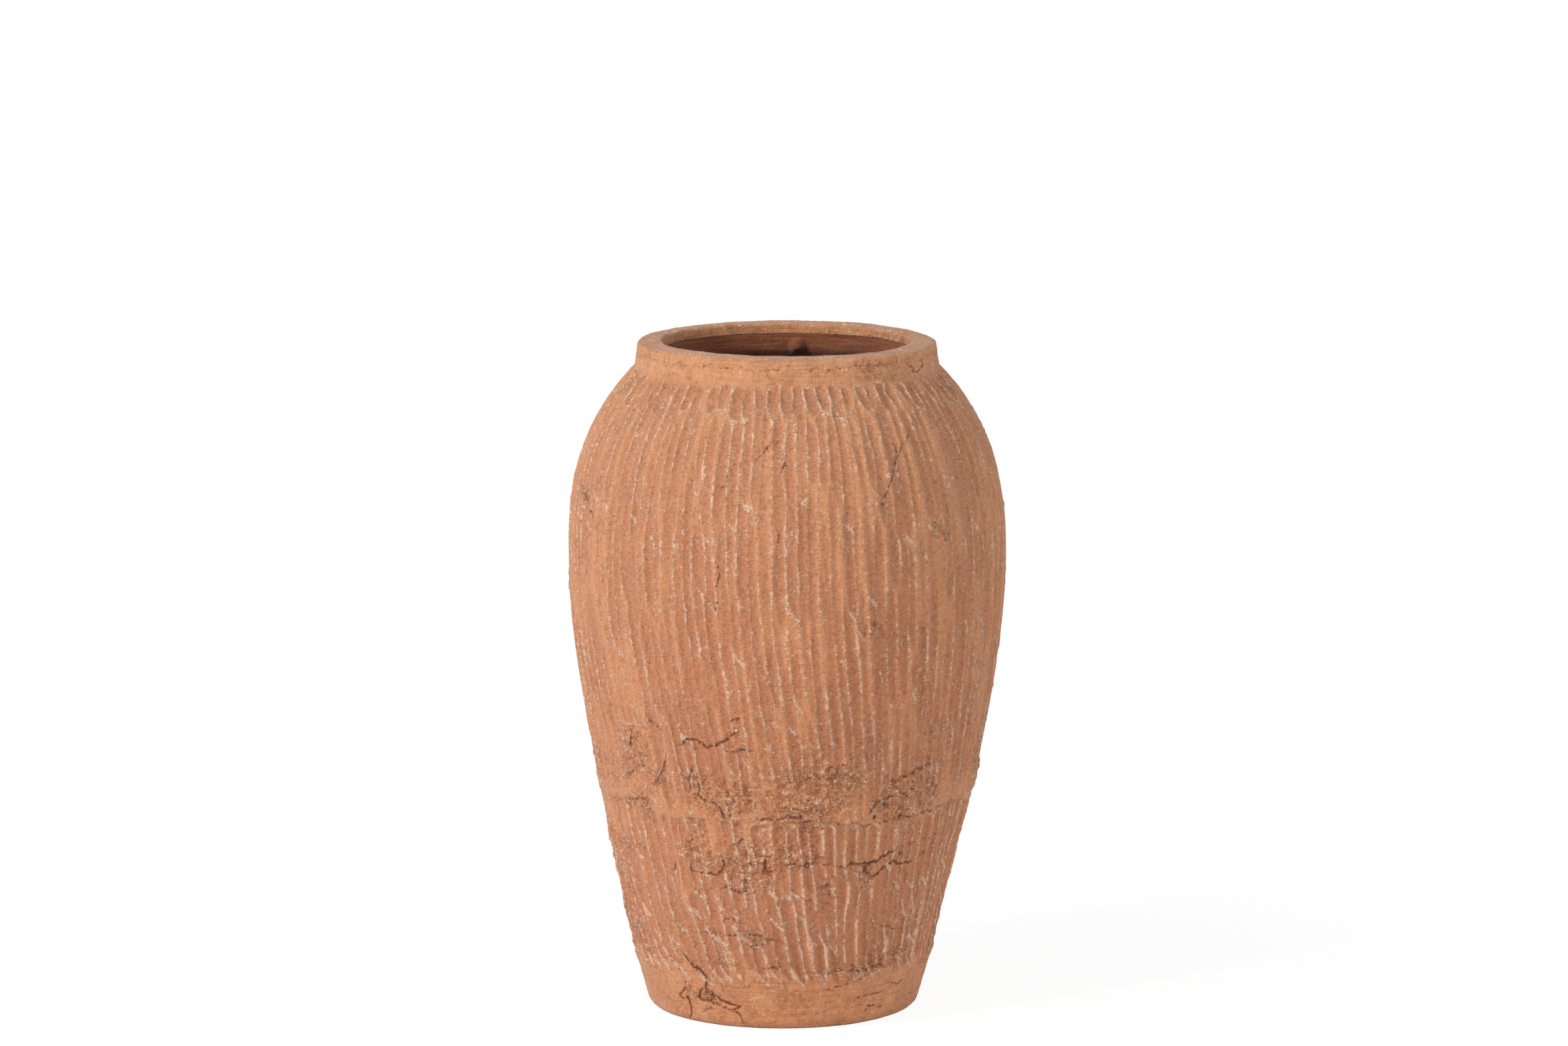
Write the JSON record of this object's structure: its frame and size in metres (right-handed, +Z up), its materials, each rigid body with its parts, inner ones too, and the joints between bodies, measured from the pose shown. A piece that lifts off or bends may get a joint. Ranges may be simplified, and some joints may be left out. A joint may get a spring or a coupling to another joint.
{
  "type": "vase",
  "caption": "Tall round terracotta vase with a plain foot band, a wall gouged with upright strokes, a closed-in shoulder, a short collar and a thick flat lip round a wide mouth.",
  "frame": {"origin": "centre of the flat underside, at the level that the vase stands on", "axes": "+Z up through the mouth along the vase's axis, X to the right and Y away from the viewer"},
  "size_m": [0.2398, 0.2398, 0.37],
  "materials": {
    "gouged_clay": "unglazed terracotta, gouged, matt and gritty",
    "smoothed_clay": "unglazed terracotta, wiped smooth by hand, matt"
  },
  "bodies": {
    "root": {"floor_slab": "smoothed_clay", "foot_band": "smoothed_clay", "lower_wall": "gouged_clay", "middle_wall": "gouged_clay", "rising_wall": "gouged_clay", "belly_wall": "gouged_clay", "shoulder_wall": "gouged_clay", "neck_wall": "gouged_clay", "neck_collar": "smoothed_clay", "lip_coil": "smoothed_clay"}
  },
  "joints": []
}
